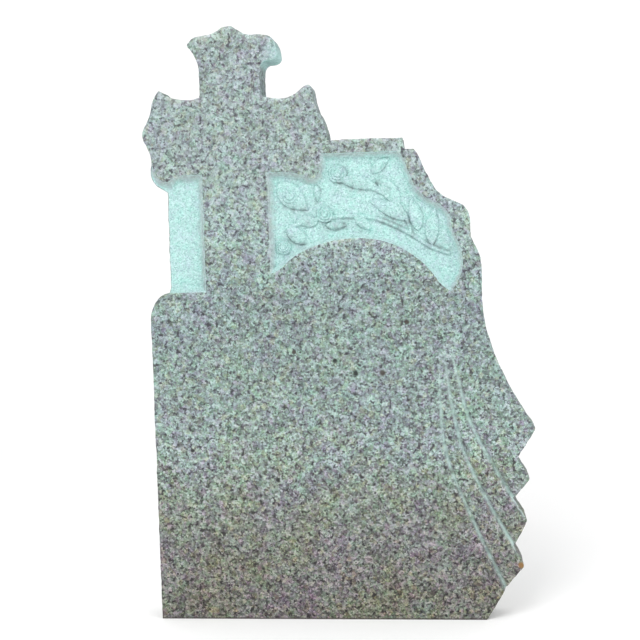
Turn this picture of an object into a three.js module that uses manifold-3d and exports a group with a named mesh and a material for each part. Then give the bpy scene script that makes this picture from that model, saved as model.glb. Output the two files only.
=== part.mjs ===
// Grave monument: one upright slab of grey granite, carved as a single piece.
// A raised cross, an arched tablet and cloth folds stand round a sunk ground with a spray of roses.
// Millimetres, +Z up. The front looks towards -Y. The origin is the middle of the underside.

import * as THREE from "three";
import { mergeVertices } from "three/addons/utils/BufferGeometryUtils.js";
import Module from "manifold-3d";

const wasm = await Module();
wasm.setup();

// Driving dimensions of the slab

const HEIGHT = 1200;
const THICKNESS = 80;
const FRONT = -THICKNESS / 2;
const LEFT_SIDE = -382;
const FOOT_RIGHT = 283;
const GROUND_DEPTH = 15;
const WALL_RUN = 12;
const WALL_LAP = 4;

// The cross: its axis, the level of its arms and how far its shaft runs down into the tablet

const CROSS = { x: -200, z: 984, shaftHalf: 66, armUnder: 909 };
const SHAFT_ROOT = 60;

// Free-form edges are pieces of curve: each ends at `to` and bends by its control points `by`.
// The arms' ends follow one another clockwise, from the left arm's underside to the right arm's underside.

const LEFT_LOBE = [
  { to: [-298, 909] },
  { by: [[-322, 909]], to: [-336, 897] },
  { by: [[-350, 895]], to: [-360, 911] },
  { by: [[-368, 925]], to: [-369, 944] },
];
const LEFT_END = [
  { by: [[-371, 961]], to: [-381, 975] },
  { by: [[-389, 990]], to: [-381, 1006] },
  { by: [[-369, 1024]], to: [-366, 1040] },
  { by: [[-362, 1062]], to: [-352, 1075] },
  { by: [[-347, 1082]], to: [-343, 1075] },
  { by: [[-325, 1058]], to: [-285, 1058] },
  { to: [-265, 1061] },
];
const TOP_END = [
  { to: [-265, 1107] },
  { by: [[-265, 1138]], to: [-281, 1158] },
  { by: [[-291, 1167]], to: [-283, 1171] },
  { by: [[-275, 1183]], to: [-257, 1183] },
  { by: [[-239, 1184]], to: [-226, 1191] },
  { by: [[-216, HEIGHT]], to: [-201, HEIGHT] },
  { by: [[-187, HEIGHT], [-182, 1182]], to: [-155, 1181] },
  { by: [[-120, 1185]], to: [-112, 1164] },
  { by: [[-107, 1150]], to: [-108, 1139] },
  { by: [[-110, 1130]], to: [-130, 1129] },
  { by: [[-142, 1127]], to: [-143, 1104] },
  { to: [-142, 1069] },
];
const RIGHT_END = [
  { by: [[-141, 1058]], to: [-127, 1057] },
  { by: [[-93, 1046]], to: [-66, 1067] },
  { to: [-55, 1076] },
  { by: [[-42, 1083]], to: [-40, 1067] },
  { by: [[-36, 1044]], to: [-30, 1026] },
  { by: [[-21, 1016]], to: [-14, 987] },
];
const RIGHT_LOBE = [
  { by: [[-8, 966]], to: [-22, 953] },
  { by: [[-28, 941]], to: [-27, 918] },
  { by: [[-29, 893]], to: [-50, 894] },
  { by: [[-74, 908]], to: [-108, 909] },
];

// The sunk ground shows as a narrow bevel round the left arm's lower lobe

const BEVEL = [
  { to: [-341, 875] },
  { by: [[-352, 883]], to: [-361, 890] },
  { by: [[-380, 908]], to: [-369, 930] },
];

// The tablet's flat shoulder at the left, and the left side of the strip of ground above it

const SHOULDER = { z: 673, cornerX: 40, cornerZ: 50, bulge: 6 };
const STRIP_LEFT = -341;

// The lintel over the sunk ground

const LINTEL = { top: 968, under: 942 };

// The free edge runs from the lintel's end down to the first fold, and the rim's edge inside it.
// The arch rises from the shaft to the crown, falls in a round arc and ends at the rim's foot.

const FREE_EDGE = [
  { to: [137, 968] },
  { to: [140, 945] },
  { to: [158, 945] },
  { by: [[166, 939]], to: [174, 914] },
  { to: [192, 878] },
  { by: [[205, 850]], to: [238, 840] },
  { by: [[266, 829]], to: [266, 798] },
  { to: [266, 776] },
  { by: [[266, 756], [286, 745]], to: [286, 714] },
  { to: [286, 645] },
  { by: [[290, 570], [318, 490]], to: [385, 389] },
];
const RIM_EDGE = [
  { to: [122, 942] },
  { by: [[134, 940]], to: [140, 920] },
  { to: [156, 878] },
  { by: [[168, 852]], to: [200, 838] },
  { by: [[229, 824]], to: [229, 794] },
  { by: [[231, 772], [250, 760]], to: [250, 716] },
  { by: [[248, 690]], to: [226, 663] },
];
const ARCH_RISE = [
  { to: [-134, 707] },
  { by: [[-118, 710]], to: [-104, 724] },
  { by: [[-76, 752], [-24, 773]], to: [42, 773] },
];
const ARCH_FALL = { x: 42, z: 587, radius: 186, untilX: 200 };
const ARCH_FOOT = [
  { by: [[206, 675]], to: [226, 663] },
];

// The cloth folds: each ends in a tip, and a notch parts it from the next

const TIPS = [[385, 384], [374, 287], [367, 203], [359, 110]];
const NOTCHES = [[349, 327], [340, 247], [340, 150], [322, 66]];
const FOLD_FOOT = [316, 52];
const TIP_ROUND = 5;
const GROOVE = { half: 14, depth: 8, fadeIn: 0.38, past: 14, startDepth: 0.03, startWidth: 0.15 };

// Centre lines of the three grooves, from where they fade in down to their notches;
// the first runs on a little along the edge of the fold below its notch

const GROOVES = [
  [[217, 560], [232, 506], [256, 406], [303, 311], [340, 247], [352, 227]],
  [[209, 556], [215, 486], [228, 406], [245, 338], [288, 244], [340, 150]],
  [[200, 540], [200, 430], [212, 326], [263, 194], [322, 66]],
];

// The spray of roses on the sunk ground: stems, leaves from base to tip, and flowers

const RELIEF = { leafEdge: 4, leafRib: 7.5, stem: 5, sunk: 2 };
const STEMS = [
  {
    half: 3.4,
    points: [[222, 738], [186, 753], [150, 777], [108, 800], [64, 815], [10, 817], [-40, 813], [-92, 800]],
  },
  { half: 2.8, points: [[150, 777], [141, 808], [122, 842], [88, 864], [46, 882], [8, 888]] },
];
const LEAVES = [
  { base: [12, 890], tip: [90, 868], width: 26, bend: 8 },
  { base: [126, 838], tip: [80, 894], width: 30, bend: -8 },
  { base: [143, 808], tip: [70, 845], width: 28, bend: -7 },
  { base: [76, 902], tip: [108, 928], width: 20, bend: 4 },
  { base: [163, 786], tip: [150, 848], width: 26, bend: -5 },
  { base: [190, 757], tip: [197, 828], width: 26, bend: 5 },
  { base: [38, 813], tip: [70, 788], width: 18, bend: 4 },
  { base: [-20, 801], tip: [20, 800], width: 15, bend: -3 },
  { base: [-38, 806], tip: [-80, 810], width: 22, bend: -4 },
  { base: [-112, 888], tip: [-57, 834], width: 46, bend: -6 },
  { base: [-98, 796], tip: [-52, 767], width: 28, bend: -5 },
  { base: [-38, 880], tip: [-36, 850], width: 12, bend: 2 },
];
const ROSES = [
  { x: 6, z: 902, radius: 18 },
  { x: -22, z: 823, radius: 16.5 },
  { x: -91, z: 861, radius: 21 },
  { x: -107, z: 760, radius: 15 },
];

// A rose's rings of petals: how many, their reach as a share of the radius, their height and turn

const PETAL_RINGS = [
  { petals: 5, reach: 0.88, rim: 6, turn: 0.2 },
  { petals: 4, reach: 0.56, rim: 9, turn: 0.9 },
  { petals: 2, reach: 0.24, rim: 11, turn: 0.4 },
];
const PETAL = { overlap: 1.15, halfWidth: 0.1, bulge: 1.06, tuck: 0.16 };

// Solids from geometry, and geometry from solids

function solid(geometry) {
  geometry.deleteAttribute("uv");
  geometry.deleteAttribute("normal");
  const merged = mergeVertices(geometry, 1e-3);
  return new wasm.Manifold(new wasm.Mesh({
    numProp: 3,
    vertProperties: new Float32Array(merged.attributes.position.array),
    triVerts: new Uint32Array(merged.index.array),
  }));
}

function geometryOf(body) {
  const mesh = body.getMesh();
  const geometry = new THREE.BufferGeometry();
  geometry.setAttribute("position", new THREE.BufferAttribute(mesh.vertProperties, 3));
  geometry.setIndex(new THREE.BufferAttribute(mesh.triVerts, 1));
  geometry.computeVertexNormals();
  return geometry;
}

function addAll(bodies) {
  return bodies.reduce((sum, body) => sum.add(body));
}

// A plate with the outline of `points`, from y = back forward to y = front

function plate(points, back, front) {
  const settings = { depth: back - front, bevelEnabled: false };
  const geometry = new THREE.ExtrudeGeometry(new THREE.Shape(points), settings);
  geometry.rotateX(Math.PI / 2);
  geometry.translate(0, back, 0);
  return solid(geometry);
}

// A body swept along a line that lies in the plane y = plane.
// sectionAt(t) gives the section at the share t of the way: pairs of [across, out],
// across to the left of travel and out towards the front, anticlockwise.

function sweep(line, plane, sectionAt) {
  const positions = [];
  const count = line.length;
  line.forEach((point, i) => {
    const into = line[Math.max(i, 1)].clone().sub(line[Math.max(i, 1) - 1]).normalize();
    const onward = line[Math.min(i + 1, count - 1)].clone().sub(line[Math.min(i, count - 2)]).normalize();
    const along = into.clone().add(onward).normalize();
    const mitre = 1 / Math.max(along.dot(into), 0.6);
    for (const [across, out] of sectionAt(i / (count - 1))) {
      positions.push(point.x - along.y * across * mitre, plane - out, point.y + along.x * across * mitre);
    }
  });
  const sides = positions.length / 3 / count;
  const index = [];
  for (let i = 0; i + 1 < count; i += 1) {
    for (let j = 0; j < sides; j += 1) {
      const a = i * sides + j;
      const b = i * sides + (j + 1) % sides;
      index.push(a, b, a + sides, b, b + sides, a + sides);
    }
  }
  const end = sectionAt(0.5).map(([across, out]) => new THREE.Vector2(across, out));
  for (const [a, b, c] of THREE.ShapeUtils.triangulateShape(end, [])) {
    const last = (count - 1) * sides;
    index.push(a, c, b, last + a, last + b, last + c);
  }
  const geometry = new THREE.BufferGeometry();
  geometry.setAttribute("position", new THREE.Float32BufferAttribute(positions, 3));
  geometry.setIndex(index);
  const body = solid(geometry);
  return body.volume() > 0 ? body : solid(flipped(geometry));
}

function flipped(geometry) {
  const index = Array.from(geometry.index.array);
  for (let i = 0; i < index.length; i += 3) {
    [index[i], index[i + 1]] = [index[i + 1], index[i]];
  }
  geometry.setIndex(index);
  return geometry;
}

function vectors(pairs) {
  return pairs.map(([x, z]) => new THREE.Vector2(x, z));
}

function smooth(pairs, steps) {
  return new THREE.SplineCurve(vectors(pairs)).getPoints(steps);
}

// Outlines

const shaftRight = CROSS.x + CROSS.shaftHalf;
const shaftLeft = CROSS.x - CROSS.shaftHalf;
const shaftFoot = SHOULDER.z - SHAFT_ROOT;
const groundPlane = FRONT + GROUND_DEPTH;

// Adds pieces of curve to a path

function follow(path, pieces) {
  for (const { by = [], to } of pieces) {
    if (by.length === 0) path.lineTo(...to);
    if (by.length === 1) path.quadraticCurveTo(...by[0], ...to);
    if (by.length === 2) path.bezierCurveTo(...by[0], ...by[1], ...to);
  }
  return path;
}

function curve(start, pieces, steps) {
  return follow(new THREE.Path().moveTo(...start), pieces).getPoints(steps).map((p) => [p.x, p.y]);
}

// The whole cross, clockwise from the foot of the shaft's left side, and its edges that border sunk ground

function crossOutline() {
  return curve([shaftLeft, shaftFoot], [{ to: [shaftLeft, CROSS.armUnder] }, ...LEFT_LOBE,
    ...LEFT_END, ...TOP_END, ...RIGHT_END, ...RIGHT_LOBE,
    { to: [shaftRight, CROSS.armUnder] }, { to: [shaftRight, shaftFoot] }], 4);
}

function crossLeftEdge() {
  return curve([shaftLeft, shaftFoot], [{ to: [shaftLeft, CROSS.armUnder] }, ...LEFT_LOBE], 4);
}

function crossRightEdge() {
  return curve(RIGHT_END[RIGHT_END.length - 1].to, [...RIGHT_LOBE, { to: [shaftRight, CROSS.armUnder] },
    { to: [shaftRight, shaftFoot] }], 4);
}

// The point at `reach` from one point towards another

function towards([x, z], [farX, farZ], reach) {
  const share = reach / Math.hypot(farX - x, farZ - z);
  return [x + (farX - x) * share, z + (farZ - z) * share];
}

// The folds' ends: straight edges run out to each slightly rounded tip and back to each notch

function foldEnds(path) {
  TIPS.forEach((tip, i) => {
    if (i > 0) path.lineTo(...towards(tip, NOTCHES[i - 1], TIP_ROUND));
    path.quadraticCurveTo(...tip, ...towards(tip, NOTCHES[i], TIP_ROUND));
    path.lineTo(...NOTCHES[i]);
  });
  path.lineTo(...FOLD_FOOT);
  path.lineTo(FOOT_RIGHT, 0);
}

// The slab without the cross: tablet, strip behind the shaft, field, rim and folds

function slabOutline() {
  const path = new THREE.Path();
  path.moveTo(LEFT_SIDE, 0);
  path.lineTo(LEFT_SIDE, SHOULDER.z - SHOULDER.cornerZ);
  path.quadraticCurveTo(LEFT_SIDE + SHOULDER.bulge, SHOULDER.z - SHOULDER.bulge,
    LEFT_SIDE + SHOULDER.cornerX, SHOULDER.z);
  path.lineTo(STRIP_LEFT, SHOULDER.z);
  follow(path, BEVEL);
  path.lineTo(CROSS.x, CROSS.z);
  path.lineTo(CROSS.x, LINTEL.top);
  follow(path, FREE_EDGE);
  foldEnds(path);
  return path.getPoints(8);
}

// The tablet's arched top, from the shaft to the foot of the rim

function archLine() {
  const { x, z, radius, untilX } = ARCH_FALL;
  const path = follow(new THREE.Path().moveTo(...ARCH_RISE[0].to), ARCH_RISE.slice(1));
  path.absarc(x, z, radius, Math.PI / 2, Math.acos((untilX - x) / radius), true);
  return follow(path, ARCH_FOOT).getPoints(7).map((p) => [p.x, p.y]);
}

// The rim's inner edge, from under the lintel's end down to the point of the field

function rimLine() {
  return curve(RIM_EDGE[0].to, RIM_EDGE.slice(1), 6);
}

// A sloping wall along the edge of something raised, which stands on the right of the line

function skirt(pairs) {
  const section = [[-WALL_LAP, -RELIEF.sunk], [WALL_RUN, -RELIEF.sunk], [WALL_RUN, 0], [0, GROUND_DEPTH],
    [-WALL_LAP, GROUND_DEPTH]];
  return sweep(vectors(pairs), groundPlane, () => section);
}

// A groove between two folds: it fades in from nothing, and runs out past its notch

function groove(pairs) {
  const line = smooth(pairs, 22);
  const last = line[line.length - 1];
  const beyond = last.clone().sub(line[line.length - 2]).setLength(GROOVE.past);
  line.push(last.clone().add(beyond));
  return sweep(line, FRONT, (t) => {
    const grow = Math.min(1, GROOVE.startDepth + t / GROOVE.fadeIn);
    const half = GROOVE.half * (GROOVE.startWidth + (1 - GROOVE.startWidth) * grow);
    const deep = GROOVE.depth * grow;
    return [[half, 0.4], [half, 3], [-half, 3], [-half, 0.4], [-half * 0.35, -deep * 0.35], [0, -deep],
      [half * 0.35, -deep * 0.35]];
  });
}

// Carving on the sunk ground

function stem({ half, points }) {
  const section = [[half, -RELIEF.sunk], [half, 1.5], [half * 0.5, RELIEF.stem], [-half * 0.5, RELIEF.stem],
    [-half, 1.5], [-half, -RELIEF.sunk]];
  return sweep(smooth(points, 26), groundPlane, () => section);
}

function leaf({ base, tip, width, bend }) {
  const from = new THREE.Vector2(...base);
  const to = new THREE.Vector2(...tip);
  const along = to.clone().sub(from);
  const middle = from.clone().add(to).multiplyScalar(0.5);
  middle.add(new THREE.Vector2(-along.y, along.x).setLength(bend));
  const line = new THREE.QuadraticBezierCurve(from, middle, to).getPoints(7);
  return sweep(line, groundPlane, (t) => {
    const half = Math.max(0.8, width / 2 * Math.sin(Math.PI * Math.pow(t, 0.8)) ** 0.85);
    const edge = RELIEF.leafEdge;
    const rib = edge + (RELIEF.leafRib - edge) * Math.sin(Math.PI * t);
    return [[half, -RELIEF.sunk], [half, edge], [0, rib], [-half, edge], [-half, -RELIEF.sunk]];
  });
}

// A rose is a low boss with rings of curled petal rims round a bud

function rose({ x, z, radius }) {
  const boss = new THREE.LatheGeometry(vectors([[0, -RELIEF.sunk], [radius * 0.92, -RELIEF.sunk],
    [radius * 0.88, 3], [radius * 0.5, 6], [0, 7]]), 12);
  boss.rotateX(Math.PI);
  boss.translate(x, groundPlane, z);
  const petalRims = ({ petals, reach, rim, turn }) => Array.from({ length: petals }, (_, i) => {
    const middle = turn + i * 2 * Math.PI / petals;
    const spread = PETAL.overlap * Math.PI / petals;
    const line = [-1, -0.5, 0, 0.5, 1].map((share) => {
      const angle = middle + share * spread;
      const out = radius * reach * (PETAL.bulge - PETAL.tuck * share * share);
      return [x + out * Math.cos(angle), z + out * Math.sin(angle)];
    });
    const half = radius * PETAL.halfWidth;
    return sweep(vectors(line), groundPlane, () => [[half * 1.6, -RELIEF.sunk + 1], [half * 0.4, rim],
      [-half * 0.6, rim], [-half, -RELIEF.sunk + 1]]);
  });
  const bossSolid = solid(boss);
  const body = bossSolid.volume() > 0 ? bossSolid : solid(flipped(boss));
  return addAll([body, ...PETAL_RINGS.flatMap(petalRims)]);
}

// The stone

function headstone() {
  const back = THICKNESS / 2;
  const cross = vectors(crossOutline());
  const field = vectors([[shaftRight, LINTEL.under], ...rimLine(), ...archLine().slice(0, -1).reverse()]);
  const whole = plate(slabOutline(), back, FRONT).add(plate(cross, back, FRONT));

  const [bevelX, bevelTop] = LEFT_LOBE[LEFT_LOBE.length - 1].to;
  const outside = bevelX - WALL_RUN;
  const strip = [[outside, SHOULDER.z], [outside, bevelTop], [shaftLeft, bevelTop], [shaftLeft, SHOULDER.z]];
  const sunk = plate(vectors(strip), groundPlane, FRONT - 1)
    .add(plate(field, groundPlane, FRONT - 1))
    .subtract(plate(cross, back, FRONT - 2));

  const walls = addAll([
    skirt(crossLeftEdge()),
    skirt(crossRightEdge()),
    skirt(rimLine().reverse()),
    skirt([RIM_EDGE[0].to, [shaftRight - WALL_LAP, LINTEL.under]]),
    skirt(archLine()),
    skirt([[LEFT_SIDE, SHOULDER.z], [shaftLeft + WALL_LAP, SHOULDER.z]]),
  ]).intersect(whole);

  const carving = addAll([...STEMS.map(stem), ...LEAVES.map(leaf), ...ROSES.map(rose)])
    .intersect(plate(field, back, FRONT));
  return whole.subtract(sunk).add(walls).add(carving).subtract(addAll(GROOVES.map(groove)));
}

const granite = new THREE.MeshStandardMaterial({ color: 0xa9b6ad, roughness: 0.45, metalness: 0 });
const stone = new THREE.Mesh(geometryOf(headstone()), granite);
stone.name = "headstone";

const monument = new THREE.Group();
monument.add(stone);

export default monument;
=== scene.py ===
"""Looks of a grave monument: a polished granite slab with a sunk sandblasted ground and a spray of roses.

The stone is one closed mesh. Its front is a triangulated relief, whose depth is worked out from the outlines
below; its sides run back from the outline to a flat sawn back. Sizes are in millimetres until the mesh is
made.
"""
import math

import bpy
import numpy as np
from mathutils import Matrix, Vector
from mathutils.geometry import delaunay_2d_cdt
from mathutils.kdtree import KDTree


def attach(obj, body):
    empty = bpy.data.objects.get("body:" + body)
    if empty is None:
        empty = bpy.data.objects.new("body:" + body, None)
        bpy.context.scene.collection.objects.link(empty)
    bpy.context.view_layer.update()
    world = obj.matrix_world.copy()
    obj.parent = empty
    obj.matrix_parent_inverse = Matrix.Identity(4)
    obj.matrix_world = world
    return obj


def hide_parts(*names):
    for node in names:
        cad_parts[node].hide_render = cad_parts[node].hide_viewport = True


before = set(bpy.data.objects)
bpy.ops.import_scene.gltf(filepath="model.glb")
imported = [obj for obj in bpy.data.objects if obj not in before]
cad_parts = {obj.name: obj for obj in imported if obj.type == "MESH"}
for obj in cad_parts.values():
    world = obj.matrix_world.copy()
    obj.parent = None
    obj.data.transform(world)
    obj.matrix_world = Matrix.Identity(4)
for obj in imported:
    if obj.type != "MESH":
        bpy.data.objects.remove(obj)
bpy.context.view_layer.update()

# Driving dimensions

HEIGHT, THICKNESS, HALF_WIDTH = 1200, 80, 385
FRONT, BACK = -THICKNESS / 2, THICKNESS / 2
LEFT_SIDE, FOOT_RIGHT = -382, 283
GROUND_DEPTH, WALL_RUN = 15, 12
MM_PER_METRE = 1000

CROSS_X, SHAFT_HALF, ARM_UNDER = -200, 66, 909
SHOULDER_Z, SHOULDER_IN, SHOULDER_DOWN, SHOULDER_BULGE = 673, 40, 50, 6
STRIP_LEFT = -341
LINTEL_TOP, LINTEL_UNDER = 968, 942

# Free-form edges: a start, then pieces of curve, each with its control points and its end.
# The cross's pieces follow one another clockwise, from the left arm's underside to the right arm's underside.

LEFT_LOBE = [
    [(-298, 909)], [(-322, 909), (-336, 897)], [(-350, 895), (-360, 911)], [(-368, 925), (-369, 944)],
]
LEFT_END = [
    [(-371, 961), (-381, 975)], [(-389, 990), (-381, 1006)], [(-369, 1024), (-366, 1040)],
    [(-362, 1062), (-352, 1075)], [(-347, 1082), (-343, 1075)], [(-325, 1058), (-285, 1058)], [(-265, 1061)],
]
TOP_END = [
    [(-265, 1107)], [(-265, 1138), (-281, 1158)], [(-291, 1167), (-283, 1171)], [(-275, 1183), (-257, 1183)],
    [(-239, 1184), (-226, 1191)], [(-216, HEIGHT), (-201, HEIGHT)],
    [(-187, HEIGHT), (-182, 1182), (-155, 1181)], [(-120, 1185), (-112, 1164)], [(-107, 1150), (-108, 1139)],
    [(-110, 1130), (-130, 1129)], [(-142, 1127), (-143, 1104)], [(-142, 1069)],
]
RIGHT_END = [
    [(-141, 1058), (-127, 1057)], [(-93, 1046), (-66, 1067)], [(-55, 1076)], [(-42, 1083), (-40, 1067)],
    [(-36, 1044), (-30, 1026)], [(-21, 1016), (-14, 987)],
]
RIGHT_LOBE = [
    [(-8, 966), (-22, 953)], [(-28, 941), (-27, 918)], [(-29, 893), (-50, 894)], [(-74, 908), (-108, 909)],
    [(CROSS_X + SHAFT_HALF, ARM_UNDER)],
]
BEVEL = [[(-341, 875)], [(-352, 883), (-361, 890)], [(-380, 908), (-369, 930)]]

FREE_EDGE = [
    (137, 968), [(140, 945)], [(158, 945)], [(166, 939), (174, 914)], [(192, 878)], [(205, 850), (238, 840)],
    [(266, 829), (266, 798)], [(266, 776)], [(266, 756), (286, 745), (286, 714)], [(286, 645)],
    [(290, 570), (318, 490), (HALF_WIDTH, 389)],
]
RIM_EDGE = [
    (122, 942), [(134, 940), (140, 920)], [(156, 878)], [(168, 852), (200, 838)], [(229, 824), (229, 794)],
    [(231, 772), (250, 760), (250, 716)], [(248, 690), (226, 663)],
]
ARCH_RISE = [(-134, 707), [(-118, 710), (-104, 724)], [(-76, 752), (-24, 773), (42, 773)]]
ARCH_X, ARCH_Z, ARCH_RADIUS, ARCH_UNTIL, ARCH_POINTS = 42, 587, 186, 200, 70
ARCH_FOOT = [(206, 675), (226, 663)]

# The left arm's edge takes over from the bevel this far above the bevel's end. The strip's wall starts a
# little beyond the outline, and the strip's open left side is closed by points that lie outside the stone.

BEVEL_LAP = 2
WALL_START = (-6, 4)
STRIP_BEYOND = [(STRIP_LEFT - 12, SHOULDER_Z), (STRIP_LEFT - 12, 860), (-400, 880)]

# Cloth folds

TIPS = [(HALF_WIDTH, 384), (374, 287), (367, 203), (359, 110)]
NOTCHES = [(349, 327), (340, 247), (340, 150), (322, 66)]
FOLD_FOOT, TIP_ROUND = (316, 52), 5
GROOVES = [
    [(217, 560), (232, 506), (256, 406), (303, 311), (340, 247), (352, 227)],
    [(209, 556), (215, 486), (228, 406), (245, 338), (288, 244), (340, 150)],
    [(200, 540), (200, 430), (212, 326), (263, 194), (322, 66)],
]
GROOVE_HALF, GROOVE_DEPTH, GROOVE_FADE = 14, 8, 0.38
GROOVE_START_DEPTH, GROOVE_START_WIDTH = 0.03, 0.15
GROOVE_FLANK, GROOVE_CORE, GROOVE_REACH, GROOVE_RUN_ON = 0.35, 0.27, 1.6, 5
# The pale line along each groove, partly sandblasted finish and partly painted highlight: its half width,
# spread and fade
PALE_LINE_HALF, PALE_LINE_SPREAD, PALE_LINE_FADE = 0.08 * GROOVE_HALF, 0.14, (-0.25, 0.7)

# Rose spray: stems have a half width and points, leaves a base, tip, width and bow, roses x, z and radius

STEM_RISE, STEM_SKIRT, STEM_CROWN, KNOT, KNOT_TURNS = 5, 1.2, 0.6, 0.10, 60
STEMS = [
    (3.4, [(222, 738), (186, 753), (150, 777), (108, 800), (64, 815), (10, 817), (-40, 813), (-92, 800)]),
    (2.8, [(150, 777), (141, 808), (122, 842), (88, 864), (46, 882), (8, 888)]),
]
LEAF_EDGE, LEAF_RIB, LEAF_LEAST = 4, 7.5, 0.8
TOOTH_LENGTH, TOOTH_CUT, TOOTHED, TOOTH_POINTS = 8, 0.09, (0.1, 0.97), 6
VEIN_DEPTH, VEIN_HALF = 1.1, 0.9
SIDE_VEIN_DEPTH, SIDE_VEIN_HALF, SIDE_VEIN_SLANT, SIDE_VEIN_LEAF = 0.45, 0.1, 0.35, 6
LEAVES = [
    ((12, 890), (90, 868), 26, 8),
    ((126, 838), (80, 894), 30, -8),
    ((143, 808), (70, 845), 28, -7),
    ((76, 902), (108, 928), 20, 4),
    ((163, 786), (150, 848), 26, -5),
    ((190, 757), (197, 828), 26, 5),
    ((38, 813), (70, 788), 18, 4),
    ((-20, 801), (20, 800), 15, -3),
    ((-38, 806), (-80, 810), 22, -4),
    ((-112, 888), (-57, 834), 46, -6),
    ((-98, 796), (-52, 767), 28, -5),
    ((-38, 880), (-36, 850), 12, 2),
]
ROSES = [(6, 902, 18), (-22, 823, 16.5), (-91, 861, 21), (-107, 760, 15)]
# a rose's rims from the outside in: share of its radius, petals, turn, height of the rim and height inside it
ROSE_RIMS = [(0.98, 5, 0.2, 5.6, 4.2), (0.66, 4, 0.9, 8.2, 6.8), (0.34, 2, 0.4, 10.6, 9.0)]
PETAL_NOTCH, PETAL_SWIRL, RIM_FALL = 0.14, 0.9, 0.14
CARVED_RUN = 1.9

# Painted shade: places along the relief's shaded edges where the ground is painted darker (x, z, radius), and
# how much of it each rose takes

SHADED_PLACES = [
    (-94, 777, 12), (-82, 766, 10), (-68, 764, 10), (10, 879, 12), (30, 879, 14), (50, 875, 12),
    (-16, 797, 12), (0, 798, 12), (16, 800, 10), (-57, 810, 10), (96, 809, 12), (112, 804, 14),
    (127, 795, 12), (151, 774, 8), (190, 759, 14), (208, 753, 14), (222, 746, 10), (130, 822, 10),
    (143, 804, 10), (-106, 842, 12), (-88, 834, 12), (-66, 834, 12), (-39, 846, 8), (88, 882, 10),
    (104, 868, 10), (45, 791, 9),
]
ROSE_SHADE = [1.5, 1.4, 0.5, 0.45]
# How far the painted shade looks for the relief's steps, and how strongly it darkens the ground at the steps
# and, as a painted shadow, at their lower right
SHADE_REACH, SHADE_ROUND = 2.8, [(1, 0), (-1, 0), (0, 1), (0, -1), (-0.7, 0.7)]
SHADE_STEP, SHADE_STEP_RISE = 0.18, (0.7, 4.0)
SHADOW_DROP, SHADOW_DROP_RISE = 0.36, (0.5, 3.6)
SHADE_SMEAR, SHADE_MOST = 0.46, 0.8

# The walls show the granite's speckle, much of it along the soft edges and little along the crisp ones

CRISP_SPECKLE, SOFT_SPECKLE, SPECKLE_FULL = 0.25, 0.85, 1.15
SPECKLE_WIDE, SPECKLE_NARROW = 0.95, 0.6

# The sandblasted patch at the top arm's right lobe: a spot on the face, and ranges of x and z on the side

LOBE_SPOT, LOBE_SPOT_RADIUS, LOBE_SPOT_SHARE = (-112, 1142), 34, 0.55
LOBE_X, LOBE_Z_LOW, LOBE_Z_HIGH, LOBE_SHARE = (-150, -136), (1112, 1124), (1182, 1140), 0.9

# Noise: a base value, and layers of amount, size and seed

WANDER = (0, [(0.7, 23, 3), (0.55, 9, 4), (0.35, 4, 5)])
UNEVEN_GROUND, CARVED_CALM = (0, [(0.35, 9, 11), (0.2, 4, 12)]), 0.6
PATCHY_SHADE = (0.36, [(0.45, 14, 13)])
SPECKLE_REACH = (1.1, [(0.4, 8, 14)])
PATCHY_FINE = (0.75, [(0.5, 5, 15)])
SMEAR_FINE = (0.6, [(0.6, 5, 16)])
ROUGH_SIDE = (0, [(0.9, 26, 21), (0.5, 9, 22)])
BROKEN_LIGHT = (0.68, [(0.3, 13, 31), (0.2, 5, 32)])

# Fineness of the mesh. Loose points keep clear of the sharp lines by a share of their step, and of the back's
# edge by a distance. The wander of the outline and the roughness of the sides fade out towards the foot.

EDGE_STEP, CURVE_STEP, LEAF_STEP, ROSE_STEP = 3.0, 4.0, 2.0, 1.6
GROUND_STEP, GROOVE_STEP, FACE_STEP, BACK_STEP = 2.1, 3.2, 14.0, 22
HEX_ROW = 0.866
CLEAR, BACK_CLEAR = 0.55, 6
MITRE_LIMIT = 0.55
ARRIS, ARRIS_DROP = 1.3, 0.8
STEADY_FOOT, FOOT_FREE = 20, 2
SIDE_ROWS = 14
MARGIN = 8
MERGE, BACK_MERGE = 1e-4, 1e-5
SHARP_ANGLE = math.radians(32)
POLISHED, BLASTED, SAWN = 0, 1, 2

shaft_left = CROSS_X - SHAFT_HALF


# Curves

def bend(start, controls, step=EDGE_STEP):
    """Points after `start` along a line, a quadratic or a cubic, about `step` apart."""
    q = np.array([start, *controls], float)
    rough = np.linalg.norm(np.diff(q, axis=0), axis=1).sum()
    t = np.linspace(0, 1, max(2, int(round(rough / step)) + 1))[1:, None]
    while len(q) > 1:
        q = [a * (1 - t) + b * t for a, b in zip(q[:-1], q[1:])]
    return np.array(q[0])


def follow(start, pieces):
    """All points of a free-form edge."""
    points = [np.array([start], float)]
    for piece in pieces:
        points.append(bend(points[-1][-1], piece))
    return np.vstack(points)


def spline(points, step):
    """A smooth curve through the points (Catmull-Rom)."""
    p = np.array(points, float)
    p = np.vstack([2 * p[0] - p[1], p, 2 * p[-1] - p[-2]])
    out = []
    for a, b, c, d in zip(p[:-3], p[1:-2], p[2:-1], p[3:]):
        t = np.linspace(0, 1, max(2, int(np.linalg.norm(c - b) / step) + 1), endpoint=False)[:, None]
        out.append(0.5 * (2 * b + (c - a) * t + (2 * a - 5 * b + 4 * c - d) * t ** 2
                          + (3 * b - a - 3 * c + d) * t ** 3))
    return np.vstack([*out, p[-2:-1]])


def evenly(line, step, closed=False):
    """The same line with points at most `step` apart, its own corners kept."""
    nxt = np.roll(line, -1, 0) if closed else line[1:]
    out = []
    for a, b in zip(line, nxt):
        n = max(1, int(math.ceil(np.linalg.norm(b - a) / step)))
        out.append(a + (b - a) * np.linspace(0, 1, n, endpoint=False)[:, None])
    return np.vstack(out) if closed else np.vstack([*out, line[-1:]])


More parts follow.
